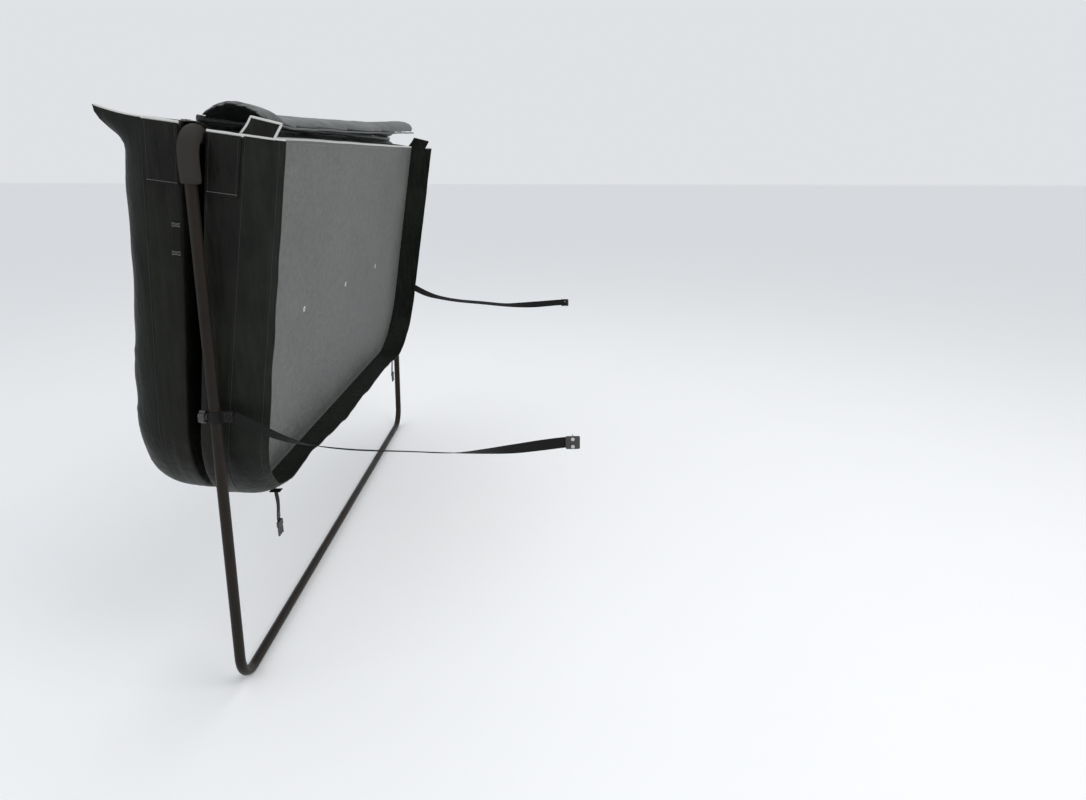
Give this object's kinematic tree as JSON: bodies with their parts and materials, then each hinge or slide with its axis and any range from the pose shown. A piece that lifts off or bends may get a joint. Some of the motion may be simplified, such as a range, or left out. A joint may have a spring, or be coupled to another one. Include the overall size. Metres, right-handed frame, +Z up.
{
  "type": "spa cover",
  "caption": "Folding foam-filled spa cover hung over a rocking U-frame tube lifter, with skirts, hinge seal, tie straps and webbing stop straps.",
  "frame": {"origin": "on the ground under the middle of the lifter's ground bar", "axes": "+Z up, +X from the lifter towards the tub, +Y along the ground bar"},
  "size_m": [1.2362, 2.248, 1.6626],
  "materials": {
    "vinyl": "black marine vinyl, grained",
    "underside": "grey mildew-resistant underside fabric",
    "binding": "pale edge binding",
    "foam": "expanded polystyrene bead foam",
    "film": "clear polyethylene film",
    "channel": "galvanised",
    "tube": "dark brown-black powder coat",
    "coupler": "zinc plated",
    "sleeve_foam": "closed-cell foam",
    "webbing": "woven polypropylene",
    "knob": "moulded nylon",
    "plate": "black",
    "screw": "stainless",
    "grommet": "pale nylon",
    "zip": "nylon coil and tape",
    "zip_metal": "nickel plated"
  },
  "bodies": {
    "anchors": {"near_anchor_plate": "plate", "far_anchor_plate": "plate", "anchor_screws": "screw", "near_stop_strap": "webbing", "far_stop_strap": "webbing"},
    "frame": {"near_lower_tube": "tube", "far_lower_tube": "tube", "near_upper_tube": "tube", "far_upper_tube": "tube", "near_post_coupler": "coupler", "far_post_coupler": "coupler", "near_foam_sleeve": "sleeve_foam", "far_foam_sleeve": "sleeve_foam", "near_strap_loop": "webbing", "far_strap_loop": "webbing", "ground_coupler": "coupler", "top_coupler": "coupler", "coupler_rivets": "screw", "thread_inserts": "coupler", "mid_foam_sleeve": "sleeve_foam"},
    "near_knob": {"near_knob": "knob"},
    "far_knob": {"far_knob": "knob"},
    "back_half": {"back_foam_core": "foam", "back_hinge_channel": "channel", "back_vapour_film": "film", "back_vinyl_jacket": "vinyl", "back_underside_panel": "underside", "back_skirt": "vinyl", "back_skirt_hem": "binding", "back_end_patches": "vinyl", "back_grommets": "grommet", "back_zip_tape": "zip", "back_gap_flaps": "vinyl", "back_tie_tabs": "webbing", "hinge_strip": "vinyl", "hinge_seal": "vinyl"},
    "front_half": {"front_foam_core": "foam", "front_hinge_channel": "channel", "front_vapour_film": "film", "front_vinyl_jacket": "vinyl", "front_underside_panel": "underside", "front_skirt": "vinyl", "front_skirt_hem": "binding", "front_end_patches": "vinyl", "front_grommets": "grommet", "front_zip_tape": "zip", "front_pull_tabs": "webbing"},
    "back_zip_slider": {"back_zip_slider": "zip_metal"},
    "front_zip_slider": {"front_zip_slider": "zip_metal"},
    "near_tie": {"near_tie_strap": "webbing", "near_tie_clip": "knob"},
    "far_tie": {"far_tie_strap": "webbing", "far_tie_clip": "knob"}
  },
  "joints": [
    {"name": "frame_rock", "type": "hinge", "parent": "anchors", "child": "frame", "pos_m": [0, 0, 0.014], "axis": [0, 1, 0], "range_deg": [0, 46.8], "deforming": ["near_stop_strap", "far_stop_strap"]},
    {"name": "back_half_swing", "type": "hinge", "parent": "frame", "child": "back_half", "pos_m": [0.0571, 0, 1.53493], "axis": [0, 1, 0], "range_deg": [0, 33.1]},
    {"name": "fold", "type": "hinge", "parent": "back_half", "child": "front_half", "pos_m": [0.05991, 0, 1.55574], "axis": [0, 1, 0], "range_deg": [0, 175.2], "deforming": ["hinge_strip", "hinge_seal"]},
    {"name": "near_knob_turn", "type": "hinge", "parent": "frame", "child": "near_knob", "pos_m": [0.00063, -1.1, 0.83055], "axis": [-0.9993, 0, 0.0375], "range_deg": [0, 720]},
    {"name": "far_knob_turn", "type": "hinge", "parent": "frame", "child": "far_knob", "pos_m": [0.00063, 1.1, 0.83055], "axis": [-0.9993, 0, 0.0375], "range_deg": [0, 720]},
    {"name": "back_zip_slide", "type": "slide", "parent": "back_half", "child": "back_zip_slider", "axis": [0, 1, 0], "range_m": [0, 1.86]},
    {"name": "front_zip_slide", "type": "slide", "parent": "front_half", "child": "front_zip_slider", "axis": [0, 1, 0], "range_m": [0, 1.86]},
    {"name": "near_tie_swing", "type": "hinge", "parent": "back_half", "child": "near_tie", "pos_m": [0.04883, -0.825, 0.4816], "axis": [0, 1, 0], "range_deg": [-60, 60]},
    {"name": "far_tie_swing", "type": "hinge", "parent": "back_half", "child": "far_tie", "pos_m": [0.04883, 0.825, 0.4816], "axis": [0, 1, 0], "range_deg": [-60, 60]}
  ],
  "couplings": [
    {"joint": "back_half_swing", "follows": "frame_rock", "ratio": 0.7072}
  ]
}
